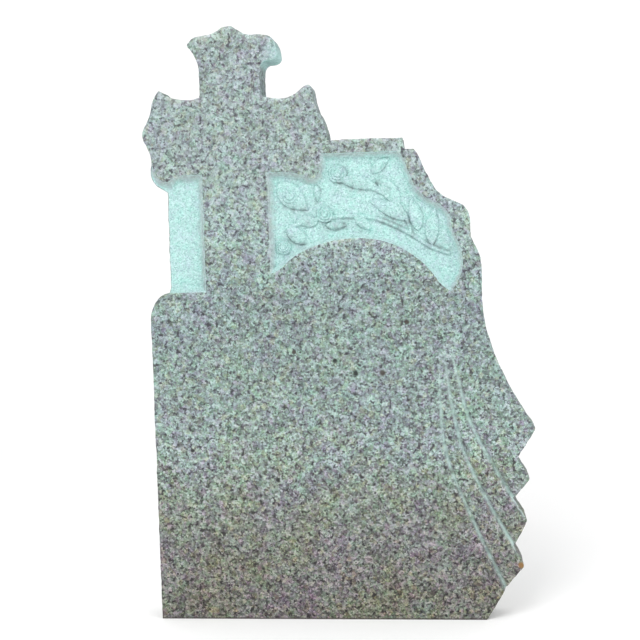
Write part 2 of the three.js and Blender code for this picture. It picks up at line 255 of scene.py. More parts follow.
def normals(line, closed=False):
    """Unit normals to the left of travel, with the mitre's stretch at corners."""
    if closed:
        before, after = line - np.roll(line, 1, 0), np.roll(line, -1, 0) - line
    else:
        d = np.diff(line, axis=0)
        before, after = np.vstack([d[:1], d]), np.vstack([d, d[-1:]])
    before = before / np.linalg.norm(before, axis=1, keepdims=True)
    after = after / np.linalg.norm(after, axis=1, keepdims=True)
    both = before + after
    along = both / np.maximum(np.linalg.norm(both, axis=1, keepdims=True), 1e-9)
    stretch = 1 / np.maximum((along * after).sum(1), MITRE_LIMIT)
    return np.stack([-along[:, 1], along[:, 0]], 1) * stretch[:, None]


def towards(point, far, reach):
    """The point at `reach` from one point towards another."""
    share = reach / math.dist(point, far)
    return (point[0] + (far[0] - point[0]) * share, point[1] + (far[1] - point[1]) * share)


def with_folds(path):
    """The path with the stepped ends of the folds after it, down to the foot."""
    for i, (tip, notch) in enumerate(zip(TIPS, NOTCHES)):
        if i > 0:
            path.append([towards(tip, NOTCHES[i - 1], TIP_ROUND)])
        path.append([tip, towards(tip, notch, TIP_ROUND)])
        path.append([notch])
    return path + [[FOLD_FOOT], [(FOOT_RIGHT, 0)]]


def between(a, b, axis, value):
    """The point where the segment a to b has `value` on the axis."""
    return a + (b - a) * (value - a[axis]) / (b[axis] - a[axis])


lobe = follow((shaft_left, ARM_UNDER), LEFT_LOBE)
ends = follow(lobe[-1], LEFT_END + TOP_END + RIGHT_END)
right_arm = follow(ends[-1], RIGHT_LOBE)
bevel = follow((STRIP_LEFT, SHOULDER_Z), BEVEL)

# Where the bevel runs into the left arm, where the lintel meets the right arm, and where the field begins

bevel_at = int(np.argmax(lobe[:, 1] > bevel[-1][1] + BEVEL_LAP))
bevel_end = lobe[bevel_at]
lintel_at = int(np.argmax(right_arm[:, 1] <= LINTEL_TOP))
lintel_start = between(right_arm[lintel_at - 1], right_arm[lintel_at], 1, LINTEL_TOP)
field_at = int(np.argmax(right_arm[:, 1] < LINTEL_UNDER))
field_start = between(right_arm[field_at - 1], right_arm[field_at], 1, LINTEL_UNDER)

shoulder = [(LEFT_SIDE + SHOULDER_BULGE, SHOULDER_Z - SHOULDER_BULGE), (LEFT_SIDE + SHOULDER_IN, SHOULDER_Z)]
outline = np.vstack([
    [(LEFT_SIDE, 0), (LEFT_SIDE, SHOULDER_Z - SHOULDER_DOWN)],
    bend((LEFT_SIDE, SHOULDER_Z - SHOULDER_DOWN), shoulder),
    bevel, lobe[bevel_at:], ends[1:], right_arm[1:lintel_at],
    [lintel_start],
    follow(FREE_EDGE[0], with_folds(FREE_EDGE[1:])),
])
arch_turn = math.asin((ARCH_UNTIL - ARCH_X) / ARCH_RADIUS)
arch = np.vstack([
    follow(ARCH_RISE[0], ARCH_RISE[1:]),
    [(ARCH_X + ARCH_RADIUS * math.sin(a), ARCH_Z + ARCH_RADIUS * math.cos(a))
     for a in np.linspace(0, arch_turn, ARCH_POINTS)[1:]],
])
arch = np.vstack([arch, bend(arch[-1], ARCH_FOOT)])
rim = follow(RIM_EDGE[0], RIM_EDGE[1:])
field = np.vstack([[field_start], right_arm[field_at:], arch, rim[-2::-1]])
strip_wall = np.vstack([
    [bevel_end + WALL_START],
    lobe[bevel_at - 1::-1],
    [(shaft_left, SHOULDER_Z), (STRIP_LEFT - 1, SHOULDER_Z)],
])
strip = np.vstack([strip_wall, STRIP_BEYOND, [(STRIP_BEYOND[-1][0], strip_wall[0][1])]])


# Smooth noise on a lattice, the same at every run

SEED_PRIME, MIX_PRIME, CELL_PRIMES = 374761393, 2654435761, (668265263, 2246822519, 3266489917)
CELL_SHIFT, WORD = 100000, 0xFFFFFFFF


def hashed(cells, seed):
    """A fixed value from -1 to 1 for each cell."""
    h = np.full(cells.shape[0], seed * SEED_PRIME % (WORD + 1), np.uint64)
    for a, prime in zip(range(cells.shape[1]), CELL_PRIMES):
        h = (h ^ ((cells[:, a] + CELL_SHIFT).astype(np.uint64) * prime)) & WORD
        h = (h * MIX_PRIME) & WORD
        h = h ^ (h >> np.uint64(15))
    return (h & 0xFFFF).astype(float) / (0xFFFF / 2) - 1


def noise(points, size, seed):
    """Smooth values from -1 to 1 with features of about `size`."""
    q = np.asarray(points, float) / size
    base = np.floor(q).astype(np.int64)
    f = q - base
    f = f * f * (3 - 2 * f)
    total = np.zeros(len(q))
    for corner in np.ndindex(*(2,) * q.shape[1]):
        c = np.array(corner)
        weight = np.prod(np.where(c, f, 1 - f), axis=1)
        total += weight * hashed(base + c, seed)
    return total


def layered(points, base, layers):
    """A base value plus layers of noise."""
    total = base
    for amount, size, seed in layers:
        total = total + amount * noise(points, size, seed)
    return total


def inside(points, loop):
    """Whether each point is in the loop."""
    hit = np.zeros(len(points), bool)
    x, z = points[:, 0], points[:, 1]
    for (x0, z0), (x1, z1) in zip(loop, np.roll(loop, -1, 0)):
        if z0 == z1:
            continue
        crosses = (z0 > z) != (z1 > z)
        hit ^= crosses & (x < x0 + (z - z0) * (x1 - x0) / (z1 - z0))
    return hit


def near(points, line, closed=False):
    """For each point: its distance to the line, the share of the way along, and the signed offset."""
    a = line
    b = np.roll(line, -1, 0) if closed else line[1:]
    a = a if closed else a[:-1]
    length = np.linalg.norm(b - a, axis=1)
    start = np.concatenate([[0], np.cumsum(length)])
    best = np.full(len(points), 1e9)
    share, offset = np.zeros(len(points)), np.zeros(len(points))
    for s in range(len(a)):
        if length[s] < 1e-9:
            continue
        u = (b[s] - a[s]) / length[s]
        rel = points - a[s]
        t = np.clip(rel @ u, 0, length[s])
        dx, dz = rel[:, 0] - t * u[0], rel[:, 1] - t * u[1]
        d = np.hypot(dx, dz)
        better = d < best
        best[better] = d[better]
        share[better] = (start[s] + t[better]) / start[-1]
        side = rel[:, 1] * u[0] - rel[:, 0] * u[1]
        offset[better] = (np.sign(side) * d)[better]
    return best, share, offset


def close_to(points, low, high, margin):
    """Whether each point is in the box from `low` to `high`, or less than `margin` outside it."""
    return np.all((points > np.asarray(low) - margin) & (points < np.asarray(high) + margin), axis=1)


def ramp(x, low, high):
    """A smooth step from 0 at `low` to 1 at `high`."""
    t = np.clip((x - low) / (high - low), 0, 1)
    return t * t * (3 - 2 * t)


# The outline is worked by hand, so it wanders a little

outline = evenly(outline, EDGE_STEP, closed=True)
steady = np.minimum(1, outline[:, 1] / STEADY_FOOT)
outline = outline + normals(outline, closed=True) * (layered(outline, *WANDER) * steady)[:, None]
outline[:, 0] = np.clip(outline[:, 0], -HALF_WIDTH, HALF_WIDTH)
outline[:, 1] = np.clip(outline[:, 1], 0, HEIGHT)


# Leaves, roses and stems, as heights above the ground

def leaf_line(base, tip, bow):
    """The leaf's middle line."""
    a, b = np.array(base, float), np.array(tip, float)
    along = b - a
    middle = (a + b) / 2 + np.array([-along[1], along[0]]) / np.linalg.norm(along) * bow
    return np.vstack([[a], bend(a, [middle, b], LEAF_STEP)])


def leaf_teeth(base, tip):
    return max(4, int(np.linalg.norm(np.subtract(tip, base)) / TOOTH_LENGTH))


def leaf_half(t, width, teeth):
    """Half the leaf's width at the share t of its length, with its teeth cut in."""
    body = width / 2 * np.sin(math.pi * np.clip(t, 0, 1) ** 0.8) ** 0.85
    saw = (t * teeth) % 1.0
    return np.maximum(LEAF_LEAST, body * (1 - TOOTH_CUT * saw * (t > TOOTHED[0]) * (t < TOOTHED[1])))


def falling(height, beyond):
    """A height that falls to the ground over CARVED_RUN beyond an edge."""
    return height * np.clip(1 - beyond / CARVED_RUN, 0, 1)


def leaf_height(points, base, tip, width, bow):
    """A leaf that rises to its rib, with the vein cut along the rib and slanting veins at its sides."""
    d, t, s = near(points, leaf_line(base, tip, bow))
    teeth = leaf_teeth(base, tip)
    half = leaf_half(t, width, teeth)
    a = np.abs(s)
    rib = LEAF_EDGE + (LEAF_RIB - LEAF_EDGE) * np.sin(math.pi * t)
    top = LEAF_EDGE + (rib - LEAF_EDGE) * np.clip(1 - a / half, 0, 1) ** 0.8
    top -= VEIN_DEPTH * np.exp(-(a / VEIN_HALF) ** 2) * ramp(t, 0.0, 0.1)
    slant = (t * teeth - SIDE_VEIN_SLANT * a / np.maximum(half, 2)) % 1.0
    vein = np.exp(-((slant - 0.5) / SIDE_VEIN_HALF) ** 2)
    top -= SIDE_VEIN_DEPTH * vein * ramp(a, 1, 3) * (half > SIDE_VEIN_LEAF)
    return np.where(d <= half + 0.02, top, falling(top, d - half))


def rim_radius(angle, reach, petals, turn):
    """The radius of a rose's rim at each angle, with a notch between each two petals."""
    bulge = np.abs(np.cos(petals * (angle - turn) / 2))
    return reach * (1 - PETAL_NOTCH + PETAL_NOTCH * bulge ** 0.6)


def rose_height(points, x, z, radius):
    """A rose in rings of petals, each petal standing higher at one end than at the other."""
    dx, dz = points[:, 0] - x, points[:, 1] - z
    r, angle = np.hypot(dx, dz), np.arctan2(dz, dx)
    top = np.zeros(len(points))
    for share, petals, turn, high, low in ROSE_RIMS:
        edge = rim_radius(angle, share * radius, petals, turn)
        swirl = ((petals * (angle - turn) / (2 * math.pi)) % 1.0) - 0.5
        lip = high + PETAL_SWIRL * swirl
        inner = low + (lip - low) * np.exp(-((edge - r) / (RIM_FALL * radius)) ** 2)
        here = np.where(r <= edge + 0.02, inner, falling(inner, r - edge))
        top = np.where(r <= edge + CARVED_RUN, np.maximum(here, top), top)
    return top


def stem_height(points, half, line):
    """A round stem with knots."""
    d, t, _ = near(points, line)
    knot = 1 + KNOT * np.sin(t * KNOT_TURNS) ** 3
    return STEM_RISE * knot * np.sqrt(np.clip(1 - (d / (half + STEM_SKIRT)) ** 2, 0, 1))


stem_lines = [(half, spline(points, EDGE_STEP)) for half, points in STEMS]


def relief(points):
    """How high the rose spray stands above the ground at each point."""
    top = np.zeros(len(points))
    for half, line in stem_lines:
        pick = close_to(points, line.min(0), line.max(0), MARGIN)
        top[pick] = np.maximum(top[pick], stem_height(points[pick], half, line))
    for base, tip, width, bow in LEAVES:
        line = leaf_line(base, tip, bow)
        pick = close_to(points, line.min(0), line.max(0), width)
        top[pick] = np.maximum(top[pick], leaf_height(points[pick], base, tip, width, bow))
    for x, z, radius in ROSES:
        pick = close_to(points, (x - radius, z - radius), (x + radius, z + radius), MARGIN)
        top[pick] = np.maximum(top[pick], rose_height(points[pick], x, z, radius))
    return top


# The grooves between the folds run on a little past their last points, so that they cut through the edge

groove_lines = []
for points in GROOVES:
    line = spline(points, CURVE_STEP)
    groove_lines.append(np.vstack([line, line[-1] + (line[-1] - line[-2]) * GROOVE_RUN_ON]))


def groove_at(points):
    """Depth of the grooves, and the pale line along them: partly their sandblasted finish, partly a painted
    highlight.
    """
    depth, pale_line_and_highlight = np.zeros(len(points)), np.zeros(len(points))
    for line in groove_lines:
        pick = close_to(points, line.min(0), line.max(0), GROOVE_HALF * 2)
        d, t, _ = near(points[pick], line)
        grow = np.minimum(1, GROOVE_START_DEPTH + t / GROOVE_FADE)
        half = GROOVE_HALF * (GROOVE_START_WIDTH + (1 - GROOVE_START_WIDTH) * grow)
        a = d / half
        flank, core = np.clip(1 - a, 0, 1) ** 1.5, np.exp(-(a / GROOVE_CORE) ** 1.6)
        shape = GROOVE_FLANK * flank + (1 - GROOVE_FLANK) * core
        depth[pick] = np.maximum(depth[pick], GROOVE_DEPTH * grow * shape * (a < GROOVE_REACH))
        broken = layered(points[pick], *BROKEN_LIGHT)
        light = broken * np.exp(-(d / (PALE_LINE_HALF + PALE_LINE_SPREAD * half)) ** 2) * ramp(grow, *PALE_LINE_FADE)
        pale_line_and_highlight[pick] = np.clip(np.maximum(pale_line_and_highlight[pick], light), 0, 1)
    return depth, pale_line_and_highlight


# The points of the front, and the lines between them that have to be sharp

field_line = evenly(field, EDGE_STEP, closed=True)
wall_line = evenly(strip_wall, EDGE_STEP)
ring = outline - normals(outline, closed=True) * ARRIS


def wall_edges():
    """The stone's edge, and the top, the arris and the foot of the walls round the sunk ground."""
    field_side, wall_side = normals(field_line, True), normals(wall_line)
    return [
        (ring, True),
        (field_line, True), (field_line - field_side * ARRIS, True),
        (wall_line, False), (wall_line + wall_side * ARRIS, False),
        (field_line + field_side * WALL_RUN, True), (wall_line - wall_side * WALL_RUN, False),
    ]


def leaf_edges(base, tip, width, bow):
    """A leaf's toothed edge at its top and at its foot, and its middle line."""
    line, teeth = leaf_line(base, tip, bow), leaf_teeth(base, tip)
    t = np.linspace(0, 1, teeth * TOOTH_POINTS + 1)
    along = np.concatenate([[0], np.cumsum(np.linalg.norm(np.diff(line, axis=0), axis=1))])
    middle = np.stack([np.interp(t * along[-1], along, line[:, a]) for a in (0, 1)], 1)
    half, side = leaf_half(t, width, teeth)[:, None], normals(middle)
    loops = [np.vstack([middle + side * (half + more), (middle - side * (half + more))[::-1]])
             for more in (0, CARVED_RUN)]
    return [(loops[0], True), (loops[1], True), (middle[1:-1], False)]


def rose_edges(x, z, radius):
    """The rims of a rose, each at its top and at its foot."""
    found = []
    for share, petals, turn, _, _ in ROSE_RIMS:
        reach = share * radius
        count = max(24, int(2 * math.pi * reach / ROSE_STEP))
        angle = np.linspace(-math.pi, math.pi, count, endpoint=False)
        for more in (0, CARVED_RUN):
            r = rim_radius(angle, reach, petals, turn) + more
            found.append((np.stack([x + r * np.cos(angle), z + r * np.sin(angle)], 1), True))
    return found


def stem_edges(half, line):
    """Four lines along a stem: its two feet and the two sides of its crown."""
    foot, crown, side = half + STEM_SKIRT, half * STEM_CROWN, normals(line)
    return [(line + side * across, False) for across in (-foot, -crown, crown, foot)]


sharp = wall_edges()
for leaf in LEAVES:
    sharp += leaf_edges(*leaf)
for rose in ROSES:
    sharp += rose_edges(*rose)
for stem in stem_lines:
    sharp += stem_edges(*stem)


def hexes(low, high, step):
    """Loose points in even triangles over a box."""
    rows = np.arange(low[1], high[1], step * HEX_ROW)
    xs = np.arange(low[0], high[0], step)
    out = [np.stack([xs + (step / 2 if n % 2 else 0), np.full(len(xs), z)], 1) for n, z in enumerate(rows)]
    return np.vstack(out)


def distance_to(points, others):
    """How far each point is from the nearest of the others."""
    tree = KDTree(len(others))
    for n, (x, z) in enumerate(others):
        tree.insert((x, z, 0), n)
    tree.balance()
    return np.array([tree.find((x, z, 0))[2] for x, z in points])


def front_points():
    """Every point of the front, the sharp lines first, and the edges along those lines."""
    points = np.vstack([line for line, closed in sharp])
    edges, first = [], 0
    for line, closed in sharp:
        n = len(line)
        edges += [(first + a, first + a + 1) for a in range(n - 1)]
        if closed:
            edges.append((first + n - 1, first))
        first += n
    low, high = outline.min(0), outline.max(0)
    fine = hexes(low, high, GROUND_STEP)
    fine = fine[inside(fine, field) | inside(fine, strip)]
    middle = hexes(low, high, GROOVE_STEP)
    close = np.zeros(len(middle), bool)
    for line in groove_lines:
        pick = close_to(middle, line.min(0), line.max(0), GROOVE_HALF * 2)
        close[pick] |= near(middle[pick], line)[0] < GROOVE_HALF * 1.2
    middle = middle[close]
    coarse = hexes(low, high, FACE_STEP)
    for step, some in ((GROUND_STEP, fine), (GROOVE_STEP, middle), (FACE_STEP, coarse)):
        some = some[inside(some, ring)]
        some = some[distance_to(some, points) > CLEAR * step]
        points = np.vstack([points, some])
    return points, edges


def painted_shade_at(q, carved):
    """Painted shade on the ground: darker along the relief's steps, as a painted shadow most at their lower
    right, and at the listed shaded places.
    """
    step, drop, smear = np.zeros((3, len(q)))
    for away in SHADE_REACH * np.array(SHADE_ROUND, float):
        rise = relief(q + away) - carved
        step = np.maximum(step, np.abs(rise))
        drop = np.maximum(drop, rise * (away[0] <= 0) * (away[1] >= 0))
    for x, z, radius in SHADED_PLACES:
        smear = np.maximum(smear, np.exp(-((q[:, 0] - x) ** 2 + (q[:, 1] - z) ** 2) / radius ** 2))
    patchy = (layered(q, *PATCHY_SHADE) + smear) * layered(q, *PATCHY_FINE)
    for (x, z, radius), share in zip(ROSES, ROSE_SHADE):
        r = np.hypot(q[:, 0] - x, q[:, 1] - z) / radius
        rings = 0.3 + 0.7 * ramp(r, 0.75, 0.9) + 0.6 * ramp(r, 0.5, 0.3)
        patchy = np.where(r < 1.2, patchy * share * rings, patchy)
    painted_shade = patchy * (SHADE_STEP * ramp(step, *SHADE_STEP_RISE) + SHADOW_DROP * ramp(drop, *SHADOW_DROP_RISE))
    return np.clip(painted_shade + SHADE_SMEAR * smear * layered(q, *SMEAR_FINE), 0, SHADE_MOST)


def front_depth(points):
    """How far each point lies behind the polished face, and how much of each finish, tone, painted shade and
    painted highlight it has.
    """
    in_field, in_strip = inside(points, field), inside(points, strip)
    depth, painted_shade, speckled, pale_line_and_highlight = np.zeros((4, len(points)))
    for part, line, closed in ((in_field, field_line, True), (in_strip, wall_line, False)):
        q = points[part]
        d = near(q, line, closed)[0]
        wall = (GROUND_DEPTH - ARRIS_DROP) * np.clip(1 - d / WALL_RUN, 0, 1)
        ground = layered(q, *UNEVEN_GROUND) * ramp(d, 0, WALL_RUN)
        carved = relief(q)
        calmed = ground * (1 - CARVED_CALM * (carved > 0.5))
        depth[part] = GROUND_DEPTH - np.maximum(wall, carved + calmed)
        painted_shade[part] = painted_shade_at(q, carved)
        if closed:
            crisp = near(q, arch)[0]
            wide = np.where(q[:, 0] > right_arm[field_at, 0], SPECKLE_NARROW, SPECKLE_WIDE)
        else:
            crisp, wide = np.abs(q[:, 1] - SHOULDER_Z), SPECKLE_WIDE
        strength = np.where(crisp <= d + 0.5, CRISP_SPECKLE, SOFT_SPECKLE)
        reach = WALL_RUN * wide * layered(q, *SPECKLE_REACH)
        speckled[part] = strength * np.clip(SPECKLE_FULL - d / reach, 0, 1)
    raised = ~(in_field | in_strip)
    q = points[raised]
    edge = np.minimum(near(q, field_line, True)[0], near(q, wall_line)[0])
    groove, pale_line_and_highlight[raised] = groove_at(q)
    depth[raised] = ARRIS_DROP * np.clip(1 - edge / ARRIS, 0, 1) + groove
    to_spot = np.hypot(points[:, 0] - LOBE_SPOT[0], points[:, 1] - LOBE_SPOT[1])
    blast = raised * LOBE_SPOT_SHARE * ramp(to_spot, LOBE_SPOT_RADIUS, 0)
    return depth, {"blasted": blast, "pale_line_and_highlight": pale_line_and_highlight, "painted_shade": painted_shade, "speckled": speckled}


def triangles(points, edges, loop):
    """Constrained Delaunay triangles of the points that lie in the loop."""
    found = delaunay_2d_cdt([Vector(p) for p in points], edges, [], 0, MERGE, False)
    flat = np.array([tuple(v) for v in found[0]])
    faces = np.array([f for f in found[2] if len(f) == 3])
    faces = faces[inside(flat[faces].mean(1), loop)]
    used = np.unique(faces)
    number = np.full(len(flat), -1)
    number[used] = np.arange(len(used))
    return flat[used], number[faces]


def border(faces):
    """The border of a patch of triangles, as one loop of points in the triangles' own direction."""
    pairs = np.vstack([faces[:, [0, 1]], faces[:, [1, 2]], faces[:, [2, 0]]])
    have = {(int(a), int(b)) for a, b in pairs}
    onward = {a: b for a, b in have if (b, a) not in have}
    loop = [next(iter(onward))]
    while onward[loop[-1]] != loop[0]:
        loop.append(onward[loop[-1]])
    if len(loop) != len(onward):
        raise ValueError(f"the border has {len(onward)} points, but its loop has {len(loop)}")
    return np.array(loop)


def side_rows(edge, depth):
    """Rows of points round the stone, from the front's arris to the back's, sawn rough in between."""
    out = -normals(edge, closed=True)
    full = edge + out * ARRIS
    full[:, 1] = np.maximum(full[:, 1], 0)
    start = FRONT + depth + ARRIS_DROP
    free = np.minimum(1, np.maximum(0, full[:, 1] - FOOT_FREE) / STEADY_FOOT)
    for row in range(SIDE_ROWS + 2):
        share = min(row, SIDE_ROWS) / SIDE_ROWS
        at = np.stack([full[:, 0], start + (BACK - ARRIS_DROP - start) * share, full[:, 1]], 1)
        push = layered(at, *ROUGH_SIDE) * free * math.sin(math.pi * share) ** 0.5
        push -= ARRIS if row > SIDE_ROWS else 0
        at[:, 0] += out[:, 0] * push
        at[:, 2] = np.maximum(at[:, 2] + out[:, 1] * push, 0)
        if row > SIDE_ROWS:
            at[:, 1] = BACK
        yield at


def band(before, now):
    """The triangles between one row of points and the next."""
    before_next, now_next = np.roll(before, -1), np.roll(now, -1)
    return [np.stack([before_next, before, now], 1), np.stack([before_next, now, now_next], 1)]


def back_patch(edge):
    """Loose points inside the back's edge, and the triangles over the edge and those points."""
    inner = hexes(edge.min(0), edge.max(0), BACK_STEP)
    inner = inner[inside(inner, edge)]
    inner = inner[distance_to(inner, edge) > BACK_CLEAR]
    flat, count = np.vstack([edge, inner]), len(edge)
    loop = [(a, (a + 1) % count) for a in range(count)]
    found = delaunay_2d_cdt([Vector(p) for p in flat], loop, [], 0, BACK_MERGE, True)
    origin = np.array([ids[0] if ids else -1 for ids in found[3]])
    if (origin < 0).any() or len(origin) != len(flat):
        raise ValueError("the back's outline crosses itself")
    faces = origin[np.array(found[2])]
    return inner, faces[inside(flat[faces].mean(1), edge)]


def lobe_side(places):
    """The sandblasted patch on the side of the top arm's right lobe: its share at each place."""
    x, y, z = places.T
    return LOBE_SHARE * ramp(x, *LOBE_X) * ramp(z, *LOBE_Z_LOW) * ramp(z, *LOBE_Z_HIGH) * (y < BACK - 1)


def stone_mesh():
    """The whole stone: its front, then the rows round its sides, then its back."""
    flat, faces = triangles(*front_points(), ring)
    depth, shares = front_depth(flat)
    middle = flat[faces].mean(1)
    is_sunk = inside(middle, field) | inside(middle, strip)
    places, all_faces = [np.stack([flat[:, 0], FRONT + depth, flat[:, 1]], 1)], [faces]
    kinds = [np.where(is_sunk, BLASTED, POLISHED)]

    before = border(faces)
    total, count = len(flat), len(before)
    for row, at in enumerate(side_rows(flat[before], depth[before])):
        now = np.arange(total, total + count)
        all_faces += band(before, now)
        kinds.append(np.full(2 * count, SAWN if row else POLISHED))
        places.append(at)
        before = now
        total += count

    inner, back_faces = back_patch(places[-1][:, [0, 2]])
    number = np.concatenate([before, np.arange(total, total + len(inner))])
    all_faces.append(number[back_faces][:, ::-1])
    kinds.append(np.full(len(back_faces), SAWN))
    places.append(np.stack([inner[:, 0], np.full(len(inner), BACK), inner[:, 1]], 1))

    places, all_faces, kinds = np.vstack(places), np.vstack(all_faces), np.concatenate(kinds)
    mesh = bpy.data.meshes.new("stone")
    mesh.from_pydata(places / MM_PER_METRE, [], all_faces.tolist())
    mesh.polygons.foreach_set("material_index", kinds.astype(np.int32))
    for name, front in shares.items():
        values = np.zeros(len(places), np.float32)
        values[:len(flat)] = front
        if name == "blasted":
            values[len(flat):] = lobe_side(places[len(flat):])
        mesh.attributes.new(name, "FLOAT", "POINT").data.foreach_set("value", values)
    mesh.validate()
    mesh.shade_smooth()
    mesh.set_sharp_from_angle(angle=SHARP_ANGLE)
    return mesh


# Shader helpers

def srgb(r, g, b):
    """Linear colour of an sRGB colour given as 0 to 255."""
    def one(c):
        c /= 255
        return c / 12.92 if c <= 0.04045 else ((c + 0.055) / 1.055) ** 2.4
    return (one(r), one(g), one(b), 1)


def new_material(name):
    material = bpy.data.materials.new(name)
    material.use_nodes = True
    tree = material.node_tree
    return material, tree, tree.nodes["Principled BSDF"]


def node(tree, kind, **values):
    """A new node, with each value set on the input of that name, or else as a property."""
    made = tree.nodes.new(kind)
    for key, value in values.items():
        if key in made.inputs:
            made.inputs[key].default_value = value
        else:
            setattr(made, key, value)
    return made


def mixed(tree, factor, a, b, mode="MIX"):
    """Colour b over colour a by a factor; each of the three is a value or a socket."""
    mix = tree.nodes.new("ShaderNodeMix")
    mix.data_type = "RGBA"
    mix.blend_type = mode
    for socket, value in zip((mix.inputs[0], mix.inputs[6], mix.inputs[7]), (factor, a, b)):
        if isinstance(value, (int, float, tuple)):
            socket.default_value = value
        else:
            tree.links.new(value, socket)
    return mix.outputs[2]


def ramped(tree, source, stops):
    """A colour by a value, through stops that each have a place and a grey or a colour."""
    ramp_node = tree.nodes.new("ShaderNodeValToRGB")
    elements = ramp_node.color_ramp.elements
    while len(elements) < len(stops):
        elements.new(0.5)
    for element, (place, colour) in zip(elements, stops):
        element.position = place
        element.color = (*colour[:3], 1) if isinstance(colour, tuple) else (colour, colour, colour, 1)
    tree.links.new(source, ramp_node.inputs["Fac"])
    return ramp_node.outputs["Color"]


def in_sizes(tree, length, size):
    """A length in metres, in units of twice `size` millimetres, so that a ramp's stops lie well apart."""
    times = node(tree, "ShaderNodeMath", operation="MULTIPLY")
    tree.links.new(length, times.inputs[0])
    times.inputs[1].default_value = MM_PER_METRE / (2 * size)
    return times.outputs[0]


def noise_at(tree, where, scale, detail, roughness):
    made = node(tree, "ShaderNodeTexNoise", Scale=scale, Detail=detail, Roughness=roughness)
    tree.links.new(where, made.inputs["Vector"])
    return made.outputs["Fac"]


def grains_at(tree, where, scale):
    """Three unrelated values from 0 to 1 for each grain."""
    made = node(tree, "ShaderNodeTexVoronoi", Scale=scale, Randomness=1.0)
    tree.links.new(where, made.inputs["Vector"])
    split = node(tree, "ShaderNodeSeparateColor")
    tree.links.new(made.outputs["Color"], split.inputs[0])
    return split.outputs


def height_of(tree, where):
    split = node(tree, "ShaderNodeSeparateXYZ")
    tree.links.new(where, split.inputs[0])
    return split.outputs["Z"]


def share_of(tree, name):
    """The share that the mesh holds in its attribute of that name."""
    return node(tree, "ShaderNodeAttribute", attribute_name=name).outputs["Fac"]


# Colours. Soft light leaves a colour as it is where the other is a middle grey, such as PLAIN.

PLAIN = srgb(188, 190, 186)
# Painted shade for the ground along the relief, and the dust on the sawn sides
SHADE_TINT, DUST = srgb(112, 124, 126), srgb(150, 160, 158)
# The walls' granite is painted lighter, as painted light on walls that lie in shade
WALL_PAINTED_LIGHT, WALL_PAINTED_LIGHT_SHARE = srgb(196, 204, 206), 0.4
# The pale line along the grooves: sandblasted finish with a painted highlight
PALE_LINE_AND_HIGHLIGHT = srgb(188, 213, 208)

# Grains of the polished granite, in grains or waves per metre

GRAIN_SCALE, FINE_SCALE, LARGE_SCALE, FLECK_SCALE, DRIFT_SCALE = 270.0, 620.0, 105.0, 112.0, 42.0
GRAIN_TONES = [(0.0, srgb(117, 121, 119)), (0.22, srgb(142, 149, 145)), (0.5, srgb(159, 168, 163)),
               (0.78, srgb(172, 182, 177)), (1.0, srgb(188, 197, 192))]
GRAIN_HUES = [(0.0, srgb(196, 176, 198)), (0.3, srgb(188, 188, 192)), (0.55, PLAIN),
              (0.8, srgb(176, 196, 186)), (1.0, srgb(200, 192, 168))]
FINE_TONES = [(0.3, 0.18), (0.5, 0.5), (0.7, 0.82)]
LARGE_TONES = [(0.0, 0.26), (0.3, 0.43), (0.6, 0.53), (1.0, 0.68)]
LARGE_HUES = [(0.0, srgb(202, 172, 196)), (0.25, srgb(186, 184, 196)), (0.5, PLAIN),
              (0.75, srgb(176, 198, 182)), (1.0, srgb(204, 190, 158))]
FLECK, FLECK_SHIFT = srgb(70, 66, 72), (3.1, 1.7, 2.3)
FLECK_SHARE = [(0.3, 0.9), (0.35, 0.75), (0.4, 0.25), (0.45, 0.0)]
DRIFT_HUES = [(0.32, srgb(168, 158, 172)), (0.5, PLAIN), (0.68, srgb(200, 216, 206))]

# Grains of the sandblasted ground

BLAST_SCALE, BLAST_DRIFT_SCALE = 430.0, 45.0
BLAST_TONES = [(0.0, srgb(136, 171, 170)), (0.3, srgb(158, 194, 192)), (0.7, srgb(169, 204, 202)),
               (1.0, srgb(186, 219, 217))]
BLAST_HUES = [(0.0, srgb(204, 180, 200)), (0.5, PLAIN), (1.0, srgb(172, 200, 186))]
BLAST_DRIFT_HUES = [(0.3, srgb(200, 172, 198)), (0.5, PLAIN), (0.7, srgb(170, 202, 190))]

# How contrast, stains and tone change with the height in metres, and the dark line at the very foot. The tone
# over height is partly the stone's own and partly painted light and shade, darker towards the foot.

CONTRAST = [(0.0, 1.0), (0.25, 0.75), (0.5, 0.45), (0.7, 0.4), (0.85, 0.1)]
STAIN_SCALE = 9.0
STAINS = [(0.32, srgb(204, 176, 208)), (0.5, srgb(188, 188, 188)), (0.62, srgb(196, 190, 158)),
          (0.72, srgb(186, 206, 198))]
STAIN_SHARE = [(0.0, 0.75), (0.3, 0.5), (0.45, 0.2), (1.0, 0.2)]
TONE_AND_PAINTED_LIGHT = [(0.0, (0.57, 0.45, 0.46)), (0.06, (0.58, 0.465, 0.48)),
        (0.2, (0.64, 0.565, 0.585)), (0.35, (0.785, 0.81, 0.88)), (0.5, (0.705, 0.775, 0.81)),
        (0.66, (0.68, 0.745, 0.815)), (0.8, (0.79, 0.88, 0.94)), (1.0, (0.725, 0.785, 0.845))]
FOOT_LINE, FOOT_LINE_COLOUR = 4.0, srgb(58, 50, 48)
FOOT_LINE_SHARE = [(0.0, 0.85), (0.25, 0.75), (0.5, 0.0)]

# Marks that stand out on the polished face: x, z, radius and colour

DARK_GRAIN, BROWN_GRAIN, RUST = srgb(6, 10, 8), srgb(50, 36, 32), srgb(134, 98, 52)
MARKS = [
    (-9, 529, 5, DARK_GRAIN), (32, 503, 5, DARK_GRAIN), (-306, 350, 4, DARK_GRAIN),
    (-132, 288, 4.5, DARK_GRAIN), (86, 503, 6, BROWN_GRAIN), (-91, 548, 4.5, BROWN_GRAIN),
    (137, 604, 5, BROWN_GRAIN), (353, 112, 6, RUST),
]
MARK_SHARE = [(0.0, 0.95), (0.35, 0.9), (0.65, 0.0)]


# Materials

